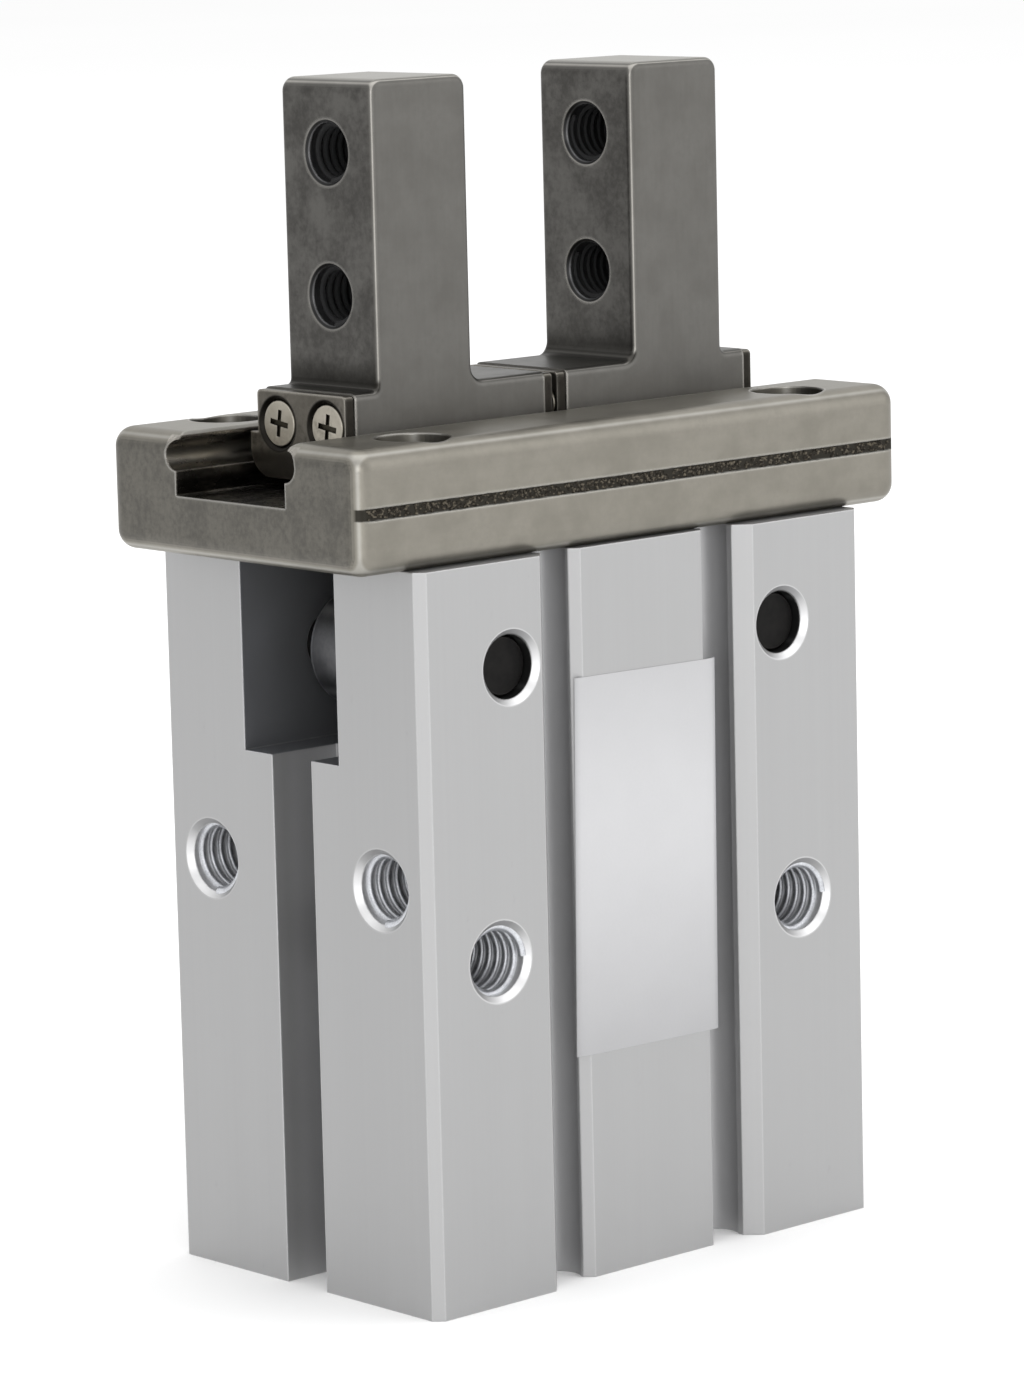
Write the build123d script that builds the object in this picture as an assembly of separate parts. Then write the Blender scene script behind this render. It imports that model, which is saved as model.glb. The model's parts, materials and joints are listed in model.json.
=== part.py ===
from build123d import *
import os
from math import asin, cos, degrees, radians, sin, sqrt, tan

# Pneumatic parallel gripper with a 25 mm bore, drawn with its fingers closed.
# X is the way the fingers travel, -Y the front wide face and +Z up, in millimetres.
# The origin is the centre of the body's bottom face. Left is -X and right is +X.

# Body, an extruded aluminium block
body_width = 52.0
body_depth = 33.6
body_height = 63.1
body_edge = 0.8
window_width = 12.2
window_depth = 17.1
end_slot_width = 5.1
end_slot_depth = 7.2

# Sensor slots, two on each wide face, with a sunk strip between them
sensor_slot_x = 9.55
sensor_slot_r = 2.15
sensor_slot_mouth = 3.4
strip_sink = 0.86
outer_lip = 1.3
inner_lip = 0.75
lip_land = 0.3

# Cylinder and its closed end
bore_d = 25.0
socket_d = 26.0
socket_depth = 1.5
ring_thickness = 1.2
ring_groove_depth = 0.7
ring_width = 2.4
ring_eye_r = 1.7
ring_eye_hole_r = 0.75
ring_eye_y = 3.4
ring_gap = 6.8
cap_thickness = 7.0
cap_hollow_r = 8.0
cap_hollow_depth = 3.0
seal_section_r = 0.88
damper_thickness = 1.0
lower_damper_r = 10.0
lower_damper_hole_r = 5.5
upper_damper_r = 11.5

# Tapped holes and ports
thread_m6_r = 3.0
thread_m5_r = 2.5
wide_hole_x = 18.0
wide_hole_z = 29.5
wide_hole_depth = 10.0
wide_through_r = 2.55
narrow_hole_y = 11.0
narrow_hole_z = 36.0
narrow_hole_depth = 10.0
base_hole_x = 19.5
base_hole_y = 10.0
base_hole_depth = 8.0
pin_hole_r = 1.5
pin_hole_x = 16.3
pin_hole_depth = 4.0
port_depth = 5.5
port_feed_r = 1.0
hole_chamfer = 0.5
small_chamfer = 0.3
thread_core = 0.83
drill_point_angle = 118.0

# Guide, a hardened steel bar with a ball channel along it
guide_length = 63.6
guide_width = 32.2
guide_thickness = 10.5
guide_edge = 1.7
channel_width = 14.1
channel_web = 5.2
ball_r = 1.25
ball_drop = 1.9
channel_lip = 0.3
guide_stripe_rise = 4.7
guide_stripe_height = 1.0
guide_stripe_depth = 0.2
guide_screw_x = 22.0
guide_screw_y = 11.9
guide_screw_r = 1.95
guide_screw_depth = 7.0
guide_screw_spare = 1.0
screw_head_r = 3.15
screw_head_height = 3.0
screw_head_sink = 4.2
screw_head_socket = 3.0
screw_head_web = 1.0

# Fingers
finger_gap = 19.0
finger_travel = 7.0
finger_thickness = 10.7
finger_width = 11.6
finger_height = 25.85
finger_edge = 0.6
finger_corner = 1.2
outer_root = 0.5
inner_root = 1.2
shoulder_rise = 3.25
foot_outer_reach = 23.8
foot_inner_reach = 0.3
tip_hole_drop = 6.2
tip_hole_pitch = 12.0
rail_clearance = 0.25
rail_floor_gap = 0.8
rail_edge = 2.4
race_lip = 0.2
plate_thickness = 1.0
plate_inset = 0.15
plug_y = 3.1
plug_rise = 0.3
plug_r = 2.0
plug_recess = 0.15
plug_stem = 2.0
plug_sink = 0.3
return_hole_r = 1.35
balls_in_row = 6
ball_pitch = 2.6

# Levers, which turn the rod's stroke into finger travel
pivot_x = 16.0
pivot_drop = 8.95
shaft_r = 2.7
shaft_sink = 1.2
shaft_mouth_chamfer = 0.5
lever_thickness = 6.0
hub_r = 5.0
upper_arm = 16.35
inner_arm = 12.0
upper_tip_r = 2.0
inner_tip_r = 2.45
arm_root_r = 3.2
upper_neck_r = 1.2
inner_neck_r = 1.7
lever_slot_clearance = 0.3

# Piston and rod
rod_r = 6.0
rod_head_cap = 3.0
rod_head_chamfer = 0.6
piston_thickness = 14.0
piston_edge = 1.2
lower_disc = 4.0
magnet_height = 4.0
magnet_inner_r = 9.5
magnet_outer_r = 12.2
packing_height = 3.0
packing_inner_r = 10.0
packing_lip = 0.5
spigot_r = 4.0
piston_screw_r = 2.5
piston_screw_head_r = 4.25
piston_screw_head = 2.7
piston_screw_sink = 0.3
piston_screw_socket = 4.0
piston_screw_socket_depth = 1.6
piston_screw_depth = 7.0
piston_tapping_spare = 1.0
rod_seal_r = 10.0
rod_seal_height = 4.3
retainer_height = 2.6
retainer_clearance = 0.2
damper_clearance = 0.5

# Clearances
running = 0.05
seating = 0.02
mesh = 0.1
tip_headroom = 0.15

# Heights and strokes that follow from the sizes above
swing = degrees(asin(finger_travel / 2 / upper_arm))
piston_stroke = 2 * inner_arm * sin(radians(swing))
ring_z = socket_depth + seating
cap_z = ring_z + ring_thickness + running
cap_top = cap_z + cap_thickness
piston_z = cap_top + damper_thickness + mesh
piston_top = piston_z + piston_thickness
chamber_top = piston_top + piston_stroke + mesh + damper_thickness
opening_port_z = cap_top + port_feed_r + mesh
closing_port_z = chamber_top - damper_thickness - port_feed_r / 2
window_floor = body_height - window_depth
pivot_z = body_height - pivot_drop
guide_top = body_height + guide_thickness
shoulder_top = guide_top + shoulder_rise
finger_top = shoulder_top + finger_height
plug_z = guide_top + plug_rise
channel_floor = body_height + channel_web
ball_y = channel_width / 2
ball_z = guide_top - ball_drop
inner_tip_z = pivot_z - inner_arm * sin(radians(swing))
finger_face_x = finger_gap / 2

SIDES = {"left": -1, "right": 1}


def block(x0, x1, y0, y1, z0, z1):
    """A straight block between two corners."""
    size = Box(x1 - x0, y1 - y0, z1 - z0, align=(Align.MIN, Align.MIN, Align.MIN))
    return Pos(x0, y0, z0) * size


def rod_along(plane, r, length):
    """A round bar that starts on a plane and runs along its normal."""
    return plane * Cylinder(r, length, align=(Align.CENTER, Align.CENTER, Align.MIN))


def upright(r, z0, z1, x=0.0, y=0.0):
    """A round bar along Z between two heights."""
    return rod_along(Plane((x, y, z0)), r, z1 - z0)


def ring(outer_r, inner_r, z0, z1):
    """A flat ring about the cylinder's axis."""
    return upright(outer_r, z0, z1) - upright(inner_r, z0, z1)


def turned(*points):
    """A solid turned about Z from radius and height pairs."""
    profile = make_face(Polyline(*[(r, 0, z) for r, z in points], close=True))
    return revolve(profile, Axis.Z)


def drill(mouth, into, r, depth, chamfer_size=hole_chamfer):
    """A straight hole with a chamfered mouth and no drill point."""
    plane = Plane(mouth, z_dir=into)
    mouth_cone = Cone(r + chamfer_size, r, chamfer_size, align=(Align.CENTER, Align.CENTER, Align.MIN))
    return rod_along(plane, r, depth) + plane * mouth_cone


def tapped(mouth, into, r, depth):
    """A tapped hole at the thread's full radius, with the point that the tapping drill leaves."""
    drill_r = thread_core * r
    tip = Cone(drill_r, 0, drill_r / tan(radians(drill_point_angle / 2)),
               align=(Align.CENTER, Align.CENTER, Align.MIN))
    return drill(mouth, into, r, depth) + Plane(mouth, z_dir=into) * Pos(0, 0, depth) * tip


def body_section():
    """The extrusion's section: a chamfered block, a sunk strip and sensor slots on each wide face."""
    half_depth = body_depth / 2
    strip_y = half_depth - strip_sink
    mouth_in = sensor_slot_x - sensor_slot_mouth / 2
    mouth_out = sensor_slot_x + sensor_slot_mouth / 2
    slot_y = strip_y - inner_lip - lip_land - sqrt(sensor_slot_r ** 2 - (sensor_slot_mouth / 2) ** 2)
    section = Rectangle(body_width, body_depth)
    section = chamfer(section.vertices(), body_edge)
    strip_edge = mouth_in - inner_lip
    mouth = make_face(Polyline(
        (0, strip_y), (strip_edge, strip_y), (mouth_in, strip_y - inner_lip), (mouth_in, slot_y),
        (mouth_out, slot_y), (mouth_out, half_depth - outer_lip), (mouth_out + outer_lip, half_depth),
        (0, half_depth), close=True))
    quarter = mouth + Pos(sensor_slot_x, slot_y) * Circle(sensor_slot_r)
    half = quarter + mirror(quarter, about=Plane.YZ)
    end_slot = Pos(-body_width / 2 + end_slot_depth / 2, 0) * Rectangle(end_slot_depth, end_slot_width)
    return section - half - mirror(half, about=Plane.XZ) - end_slot


def make_body():
    """The extruded block with the lever window, the stepped bore and every hole in it."""
    half_x = body_width / 2
    half_y = body_depth / 2
    screw_hole_z = body_height - guide_screw_depth - guide_screw_spare
    body = extrude(body_section(), body_height)
    body -= block(-half_x, half_x, -window_width / 2, window_width / 2, window_floor, body_height)
    body -= upright(socket_d / 2, 0, cap_top)
    body -= upright(socket_d / 2 + ring_groove_depth, ring_z - running, cap_z)
    body -= upright(bore_d / 2, cap_top, chamber_top)
    body -= upright(rod_seal_r, chamber_top, chamber_top + retainer_height + rod_seal_height + 2 * running)
    body -= upright(rod_r + running, chamber_top, window_floor)
    for side_x in SIDES.values():
        for side_y in SIDES.values():
            body -= drill((side_x * pivot_x, side_y * half_y, pivot_z), (0, -side_y, 0),
                          shaft_r + seating, half_y, shaft_mouth_chamfer)
            body -= drill((side_x * wide_hole_x, side_y * half_y, wide_hole_z), (0, -side_y, 0),
                          thread_m6_r, wide_hole_depth)
            body -= tapped((side_x * half_x, side_y * narrow_hole_y, narrow_hole_z), (-side_x, 0, 0),
                           thread_m6_r, narrow_hole_depth)
            body -= tapped((side_x * base_hole_x, side_y * base_hole_y, 0), (0, 0, 1),
                           thread_m6_r, base_hole_depth)
            body -= upright(guide_screw_r + seating, screw_hole_z, body_height,
                            side_x * guide_screw_x, side_y * guide_screw_y)
        body -= rod_along(Plane((side_x * wide_hole_x, -half_y, wide_hole_z), z_dir=(0, 1, 0)),
                          wide_through_r, body_depth)
    body -= drill((pin_hole_x, 0, 0), (0, 0, 1), pin_hole_r, pin_hole_depth, small_chamfer)
    for port_z in (opening_port_z, closing_port_z):
        body -= drill((half_x, 0, port_z), (-1, 0, 0), thread_m5_r, port_depth)
        body -= rod_along(Plane((half_x, 0, port_z), z_dir=(-1, 0, 0)), port_feed_r,
                          half_x - bore_d / 2 + port_feed_r)
    return body


def make_guide():
    """The guide bar: tumbled edges, a channel with a ball race in each wall, and lever slots."""
    half_x = guide_length / 2
    half_y = guide_width / 2
    blank = block(-half_x, half_x, -half_y, half_y, body_height, guide_top)
    guide = fillet(blank.edges(), guide_edge)
    guide -= block(-half_x, half_x, -ball_y, ball_y, channel_floor, guide_top)
    stripe_z = body_height + guide_stripe_rise
    stripe = (guide_length, 2 * guide_stripe_depth, guide_stripe_height)
    arm_reach = (channel_floor - pivot_z) / cos(radians(swing))
    arm_half = arm_root_r - (arm_root_r - upper_neck_r) * arm_reach / upper_arm
    slot_reach = arm_reach * sin(radians(swing)) + arm_half + lever_slot_clearance
    for side in SIDES.values():
        guide -= rod_along(Plane((-half_x, side * ball_y, ball_z), z_dir=(1, 0, 0)),
                           ball_r + running, guide_length)
        guide -= Pos(0, side * half_y, stripe_z + guide_stripe_height / 2) * Box(*stripe)
        guide -= block(side * pivot_x - slot_reach, side * pivot_x + slot_reach,
                       -lever_thickness / 2 - mesh, lever_thickness / 2 + mesh, body_height, channel_floor)
        lip = make_face(Polyline(
            (side * ball_y, guide_top - channel_lip), (side * (ball_y + channel_lip), guide_top),
            (side * ball_y, guide_top), close=True))
        guide -= extrude(Plane((-half_x, 0, 0), x_dir=(0, 1, 0), z_dir=(1, 0, 0)) * lip, guide_length)
        for side_y in SIDES.values():
            x = side * guide_screw_x
            y = side_y * guide_screw_y
            guide -= upright(guide_screw_r + mesh, body_height, guide_top, x, y)
            guide -= upright(screw_head_r + mesh, guide_top - screw_head_sink, guide_top, x, y)
    return guide


def make_guide_screws():
    """Four socket-head screws that hold the guide down on the body."""
    seat = guide_top - screw_head_sink
    screws = []
    for side_x in SIDES.values():
        for side_y in SIDES.values():
            x = side_x * guide_screw_x
            y = side_y * guide_screw_y
            head = upright(screw_head_r, seat, seat + screw_head_height, x, y)
            rim = head.edges().filter_by(GeomType.CIRCLE).sort_by(Axis.Z)[-1]
            head = chamfer(rim, small_chamfer)
            hexagon = RegularPolygon(screw_head_socket / 2, 6, major_radius=False)
            key = extrude(Plane((x, y, seat + screw_head_web)) * hexagon, screw_head_height)
            shank = upright(guide_screw_r, body_height - guide_screw_depth, seat, x, y)
            screws.append(head + shank - key)
    return Compound(children=screws)


def make_lever_shaft(side):
    """A plain round pin across the body, sunk a little at both ends."""
    length = body_depth - 2 * shaft_sink
    shaft = rod_along(Plane((side * pivot_x, -length / 2, pivot_z), z_dir=(0, 1, 0)), shaft_r, length)
    return chamfer(shaft.edges().filter_by(GeomType.CIRCLE), small_chamfer)


def arm_outline(root_r, neck_r, tip_r, reach):
    """One arm from the hub at the origin to its round tip at a distance along X."""
    taper = make_hull((Circle(root_r) + Pos(reach, 0) * Circle(neck_r)).edges())
    return taper + Pos(reach, 0) * Circle(tip_r)


def make_lever(side):
    """A bell crank: the inner arm sits in the rod's notch, the upper arm in the finger's pocket."""
    inner = Rot(0, 0, -swing) * arm_outline(arm_root_r, inner_neck_r, inner_tip_r, inner_arm)
    upper = Rot(0, 0, 90 - swing) * arm_outline(arm_root_r, upper_neck_r, upper_tip_r, upper_arm)
    outline = Circle(hub_r) + inner + upper - Circle(shaft_r + running)
    plane = Plane((-pivot_x, lever_thickness / 2, pivot_z), x_dir=(1, 0, 0), z_dir=(0, -1, 0))
    lever = extrude(plane * outline, lever_thickness)
    return lever if side < 0 else mirror(lever, about=Plane.YZ)


def foot_section(inset):
    """Half-round rail section of a finger's foot, in Y and Z, drawn inside the real one by an inset."""
    neck = finger_width / 2 - inset
    rail = channel_width / 2 - rail_clearance - inset
    shoulder = ball_z + ball_r + running + race_lip - inset
    floor = channel_floor + rail_floor_gap + inset
    top = shoulder_top - inset
    outline = make_face(Polyline(
        (-neck, top), (-neck, shoulder), (-rail, shoulder), (-rail, floor), (rail, floor),
        (rail, shoulder), (neck, shoulder), (neck, top), close=True))
    outline = fillet(outline.vertices().group_by(Axis.Y)[0], rail_edge)
    return fillet(outline.vertices().group_by(Axis.Y)[-1], finger_edge - inset)


def make_upright(foot_out, foot_in):
    """The upper part of the foot and the upright on it, with rounded roots and tumbled edges."""
    outer_x = -finger_face_x - finger_thickness
    outline = make_face(Polyline(
        (-foot_out, guide_top), (-foot_out, shoulder_top), (outer_x, shoulder_top), (outer_x, finger_top),
        (-finger_face_x, finger_top), (-finger_face_x, shoulder_top), (-foot_in, shoulder_top),
        (-foot_in, guide_top), close=True))
    outline = fillet(outline.vertices().sort_by_distance((outer_x, shoulder_top))[0], outer_root)
    outline = fillet(outline.vertices().sort_by_distance((-finger_face_x, shoulder_top))[0], inner_root)
    outline = fillet(outline.vertices().group_by(Axis.Y)[-1], finger_corner)
    wide_face = Plane((0, finger_width / 2, 0), x_dir=(1, 0, 0), z_dir=(0, -1, 0))
    solid = extrude(wide_face * outline, finger_width)
    rims = solid.faces().filter_by(Axis.Y).edges()
    return fillet(rims.filter_by(lambda edge: edge.center().Z > shoulder_top - mesh), finger_edge)


def make_finger(side):
    """A steel finger: a foot that rides on the balls, and an upright with two tapped holes."""
    foot_out = foot_outer_reach - plate_thickness
    foot_in = foot_inner_reach + plate_thickness
    along_x = Plane((-foot_out, 0, 0), x_dir=(0, 1, 0), z_dir=(1, 0, 0))
    finger = extrude(along_x * foot_section(0), foot_out - foot_in)
    finger += make_upright(foot_out, foot_in)
    for side_y in SIDES.values():
        finger -= rod_along(Plane((-foot_out, side_y * ball_y, ball_z), z_dir=(1, 0, 0)),
                            ball_r + running, foot_out - foot_in)
        finger -= rod_along(Plane((-foot_out, side_y * plug_y, plug_z), z_dir=(1, 0, 0)),
                            return_hole_r, foot_out - foot_in)
    pocket_x = -pivot_x + upper_arm * sin(radians(swing))
    pocket_half = upper_tip_r + running
    finger -= block(pocket_x - pocket_half, pocket_x + pocket_half,
                    -lever_thickness / 2 - mesh, lever_thickness / 2 + mesh,
                    channel_floor, pivot_z + upper_arm + upper_tip_r + tip_headroom)
    for count in range(2):
        z = finger_top - tip_hole_drop - count * tip_hole_pitch
        for mouth_x, into in ((-finger_face_x, -1), (-finger_face_x - finger_thickness, 1)):
            finger -= drill((mouth_x, 0, z), (into, 0, 0), thread_m5_r, finger_thickness, small_chamfer)
    return finger if side < 0 else mirror(finger, about=Plane.YZ)


def plate_ends():
    """X of each end plate's outward face, with the way it faces, on the left finger."""
    return ((-foot_outer_reach, 1), (-foot_inner_reach, -1))


def make_end_plates(side):
    """The thin plates that close both ends of a finger's foot, with two countersunk plug holes each."""
    plates = []
    for face_x, inward in plate_ends():
        plane = Plane((face_x, 0, 0), x_dir=(0, inward, 0), z_dir=(inward, 0, 0))
        plate = extrude(plane * foot_section(plate_inset), plate_thickness)
        for side_y in SIDES.values():
            plate -= drill((face_x, side_y * plug_y, plug_z), (inward, 0, 0), plug_r + seating,
                           plate_thickness, plug_sink)
        plates.append(plate)
    group = Compound(children=plates)
    return group if side < 0 else mirror(group, about=Plane.YZ)


def make_return_plugs(side):
    """Round plugs in the end plates that close the return holes of the balls."""
    plugs = []
    for face_x, inward in plate_ends():
        for side_y in SIDES.values():
            seat = Plane((face_x + inward * plug_recess, side_y * plug_y, plug_z), z_dir=(inward, 0, 0))
            plugs.append(rod_along(seat, plug_r, plate_thickness - plug_recess)
                         + rod_along(seat, return_hole_r - seating, plug_stem))
    group = Compound(children=plugs)
    return group if side < 0 else mirror(group, about=Plane.YZ)


def make_balls(side):
    """The two rows of balls that carry a finger, one in each race."""
    inner_ball = foot_inner_reach + plate_thickness + finger_travel / 2 + ball_r + mesh
    balls = []
    for side_y in SIDES.values():
        for count in range(balls_in_row):
            x = side * (inner_ball + count * ball_pitch)
            balls.append(Pos(x, side_y * ball_y, ball_z) * Sphere(ball_r))
    return Compound(children=balls)


def make_bottom_cap():
    """The moulded disc that closes the bore, hollow below, with a groove for its seal."""
    r = socket_d / 2 - running
    groove_r = r - 2 * seal_section_r
    groove_z = cap_z + cap_thickness / 2 - seal_section_r - running
    groove_top = cap_z + cap_thickness / 2 + seal_section_r + running
    return turned(
        (0, cap_z + cap_hollow_depth), (cap_hollow_r, cap_z + cap_hollow_depth), (cap_hollow_r, cap_z),
        (r, cap_z), (r, groove_z), (groove_r, groove_z), (groove_r, groove_top), (r, groove_top),
        (r, cap_top), (0, cap_top))


def make_cap_seal():
    """The seal ring squeezed into the cap's groove: flat where it presses, with bulging corners cut off."""
    inner_r = socket_d / 2 - running - 2 * seal_section_r + seating
    outer_r = socket_d / 2 - seating
    middle_z = cap_z + cap_thickness / 2
    corner = seal_section_r / 2
    low = middle_z - seal_section_r
    high = middle_z + seal_section_r
    return turned((inner_r, low + corner), (inner_r + corner, low), (outer_r - corner, low),
                  (outer_r, low + corner), (outer_r, high - corner), (outer_r - corner, high),
                  (inner_r + corner, high), (inner_r, high - corner))


def make_retaining_ring():
    """The spring ring under the cap, open at the left, with two eyes for pliers."""
    outer_r = socket_d / 2 + ring_groove_depth - running
    inner_r = outer_r - ring_width
    eye_x = ring_width / 4 + ring_eye_r - outer_r
    flat = Circle(outer_r) - Circle(inner_r)
    flat -= Pos(-outer_r, 0) * Rectangle(3 * ring_width, ring_gap)
    for side in SIDES.values():
        flat += Pos(eye_x, side * ring_eye_y) * Circle(ring_eye_r)
        flat -= Pos(eye_x, side * ring_eye_y) * Circle(ring_eye_hole_r)
    return extrude(Plane((0, 0, ring_z)) * flat, ring_thickness)


def make_rod():
    """The rod: a spigot for the piston below, and a notched head that holds the levers' inner tips."""
    notch_half = inner_tip_r + mesh
    web_half = pivot_x - inner_arm - inner_tip_r - mesh
    head_top = inner_tip_z + notch_half + rod_head_cap
    rod = upright(rod_r, piston_top, head_top)
    rod = chamfer(rod.edges().filter_by(GeomType.CIRCLE).sort_by(Axis.Z)[-1], rod_head_chamfer)
    for side in SIDES.values():
        near, far = sorted((side * web_half, side * rod_r))
        rod -= block(near, far, -rod_r, rod_r, inner_tip_z - notch_half, inner_tip_z + notch_half)
    rod += upright(spigot_r, piston_z + lower_disc, piston_top)
    rod -= upright(piston_screw_r, piston_z + lower_disc,
                   piston_z + lower_disc + piston_screw_depth + piston_tapping_spare)
    return rod


def make_piston_upper():
    """The piston's upper disc, with the packing groove and the neck that carries the magnet."""
    r = bore_d / 2 - 2 * running
    neck_z = piston_z + lower_disc
    disc_z = neck_z + magnet_height
    groove_z = (disc_z + piston_top - packing_height) / 2
    groove_r = packing_inner_r
    groove_top = groove_z + packing_height
    return turned(
        (spigot_r + seating, neck_z), (magnet_inner_r, neck_z), (magnet_inner_r, disc_z), (r, disc_z),
        (r, groove_z), (groove_r, groove_z), (groove_r, groove_top), (r, groove_top),
        (r, piston_top - piston_edge), (r - piston_edge, piston_top), (spigot_r + seating, piston_top))


def make_piston_lower():
    """The lower disc, which the screw clamps against the magnet and the upper disc."""
    r = bore_d / 2 - 2 * running
    top = piston_z + lower_disc
    head_r = piston_screw_head_r + mesh
    seat = piston_z + piston_screw_sink + piston_screw_head
    return turned(
        (piston_screw_r + mesh, seat), (head_r, seat), (head_r, piston_z), (r - piston_edge, piston_z),
        (r, piston_z + piston_edge), (r, top), (piston_screw_r + mesh, top))


def make_piston_screw():
    """The socket-head screw that holds both discs on the rod."""
    seat = piston_z + piston_screw_sink + piston_screw_head
    head = upright(piston_screw_head_r, seat - piston_screw_head, seat)
    shank = upright(piston_screw_r - seating, seat, piston_z + lower_disc + piston_screw_depth)
    hexagon = RegularPolygon(piston_screw_socket / 2, 6, major_radius=False)
    key = extrude(Plane((0, 0, seat - piston_screw_head)) * hexagon, piston_screw_socket_depth)
    return head + shank - key


def make_piston_packing():
    """The rubber lip seal round the piston."""
    disc_z = piston_z + lower_disc + magnet_height
    groove_z = (disc_z + piston_top - packing_height) / 2
    outer_r = bore_d / 2 - running / 2
    low = groove_z + running
    high = groove_z + packing_height - running
    return turned((packing_inner_r + seating, low), (outer_r, low), (outer_r - packing_lip, (low + high) / 2),
                  (outer_r, high), (packing_inner_r + seating, high))


parts = {
    "body": make_body(),
    "guide": make_guide(),
    "guide_screws": make_guide_screws(),
    "bottom_cap": make_bottom_cap(),
    "cap_seal": make_cap_seal(),
    "retaining_ring": make_retaining_ring(),
    "lower_damper": ring(lower_damper_r, lower_damper_hole_r, cap_top, cap_top + damper_thickness),
    "upper_damper": ring(upper_damper_r, rod_r + damper_clearance,
                         chamber_top - damper_thickness, chamber_top),
    "seal_retainer": ring(rod_seal_r - seating, rod_r + retainer_clearance, chamber_top,
                          chamber_top + retainer_height),
    "rod_seal": ring(rod_seal_r - seating, rod_r + seating, chamber_top + retainer_height + running,
                     chamber_top + retainer_height + running + rod_seal_height),
    "piston_rod": make_rod(),
    "piston_upper": make_piston_upper(),
    "piston_lower": make_piston_lower(),
    "piston_screw": make_piston_screw(),
    "piston_packing": make_piston_packing(),
    "magnet_ring": ring(magnet_outer_r, magnet_inner_r + seating, piston_z + lower_disc,
                        piston_z + lower_disc + magnet_height),
}
for name, side in SIDES.items():
    parts["lever_" + name] = make_lever(side)
    parts["lever_shaft_" + name] = make_lever_shaft(side)
    parts["finger_" + name] = make_finger(side)
    parts["end_plates_" + name] = make_end_plates(side)
    parts["return_plugs_" + name] = make_return_plugs(side)
    parts["balls_" + name] = make_balls(side)

for name, shape in parts.items():
    export_step(shape, "parts/" + name + ".step")
print("stroke", round(piston_stroke, 4), "swing each way", round(swing, 4))
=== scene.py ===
import json
import math
from functools import reduce
from operator import or_

import bpy
from mathutils import Matrix, Vector


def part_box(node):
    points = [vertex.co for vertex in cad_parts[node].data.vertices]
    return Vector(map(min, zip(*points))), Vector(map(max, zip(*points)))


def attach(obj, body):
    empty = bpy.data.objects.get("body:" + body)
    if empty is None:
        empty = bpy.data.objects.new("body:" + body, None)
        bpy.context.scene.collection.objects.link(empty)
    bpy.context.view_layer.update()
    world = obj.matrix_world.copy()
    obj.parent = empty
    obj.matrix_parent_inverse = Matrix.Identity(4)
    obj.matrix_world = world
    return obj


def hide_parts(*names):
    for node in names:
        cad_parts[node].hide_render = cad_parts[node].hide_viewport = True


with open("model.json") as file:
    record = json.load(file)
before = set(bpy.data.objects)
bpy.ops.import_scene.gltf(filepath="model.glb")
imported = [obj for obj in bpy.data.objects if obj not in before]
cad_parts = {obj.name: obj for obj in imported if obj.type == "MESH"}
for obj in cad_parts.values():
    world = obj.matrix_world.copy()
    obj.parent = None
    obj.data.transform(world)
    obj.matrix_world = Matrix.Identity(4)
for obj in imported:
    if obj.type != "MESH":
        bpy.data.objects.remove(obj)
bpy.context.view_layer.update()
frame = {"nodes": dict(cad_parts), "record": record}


# Body: one block sawn from an aluminium extrusion and clear anodised to a satin skin.
# Faint lines run along the extrusion, and the holes drilled afterwards are bare metal, with rims painted
# bright towards the light and shaded away from it.
MM = 0.001
nodes = frame["nodes"]
mounts = {mount["name"]: mount for mount in frame["record"]["mounts"]}


class Wire:
    """One socket of a node tree. Sums on wires add Math nodes, and add() makes any other node."""

    def __init__(self, tree, socket=None):
        self.tree = tree
        self.socket = socket

    def add(self, kind, settings=None, values=None, output=0):
        """Adds a node, settings first and sockets next, and gives an output. Short kinds are shader nodes."""
        node = self.tree.nodes.new(kind if "Node" in kind else "ShaderNode" + kind)
        for name, value in (settings or {}).items():
            setattr(node, name, value)
        for name, value in (values or {}).items():
            if isinstance(value, Wire):
                self.tree.links.new(value.socket, node.inputs[name])
            else:
                node.inputs[name].default_value = value
        return Wire(self.tree, node.outputs[output] if node.outputs else None)

    def math(self, operation, *values):
        return self.add("Math", {"operation": operation}, dict(enumerate(values)))

    def __add__(self, other):
        return self.math("ADD", self, other)

    def __sub__(self, other):
        return self.math("SUBTRACT", self, other)

    def __rsub__(self, other):
        return self.math("SUBTRACT", other, self)

    def __mul__(self, other):
        return self.math("MULTIPLY", self, other)

    def __truediv__(self, other):
        return self.math("DIVIDE", self, other)

    def __or__(self, other):
        return self.math("MAXIMUM", self, other)

    def __abs__(self):
        return self.math("ABSOLUTE", self)

    __radd__ = __add__
    __rmul__ = __mul__

    def step(self, low, high):
        """A smooth step from 0 at low to 1 at high."""
        return self.add("MapRange", {"interpolation_type": "SMOOTHSTEP"},
                        {"Value": self, "From Min": low, "From Max": high})

    def tint(self, dark, light):
        """A colour between two, chosen by this wire's value."""
        return self.add("Mix", {"data_type": "RGBA"}, {0: self, 6: dark, 7: light}, 2)

    def vector(self, operation, other, output="Vector"):
        return self.add("VectorMath", {"operation": operation}, {0: self, 1: other}, output)

    def part(self, axis):
        """One of the three numbers of a vector."""
        return self.add("SeparateXYZ", {}, {0: self}, axis)

    def grain(self, size, stretch=(1, 1, 1), detail=3.0, rough=0.55):
        """Cloudy noise on this place, with spots of a size in metres that stretch draws out along an axis."""
        scaled = self.add("Mapping", {}, {"Vector": self, "Scale": [1 / (size * s) for s in stretch]})
        return scaled.add("TexNoise", {}, {
            "Vector": scaled, "Scale": 1.0, "Detail": detail, "Roughness": rough})


def start_finish(name):
    """A new empty material, with its Object coordinates as the first wire."""
    material = bpy.data.materials.new(name)
    material.use_nodes = True
    material.node_tree.nodes.clear()
    return material, Wire(material.node_tree).add("TexCoord", output="Object")


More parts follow.
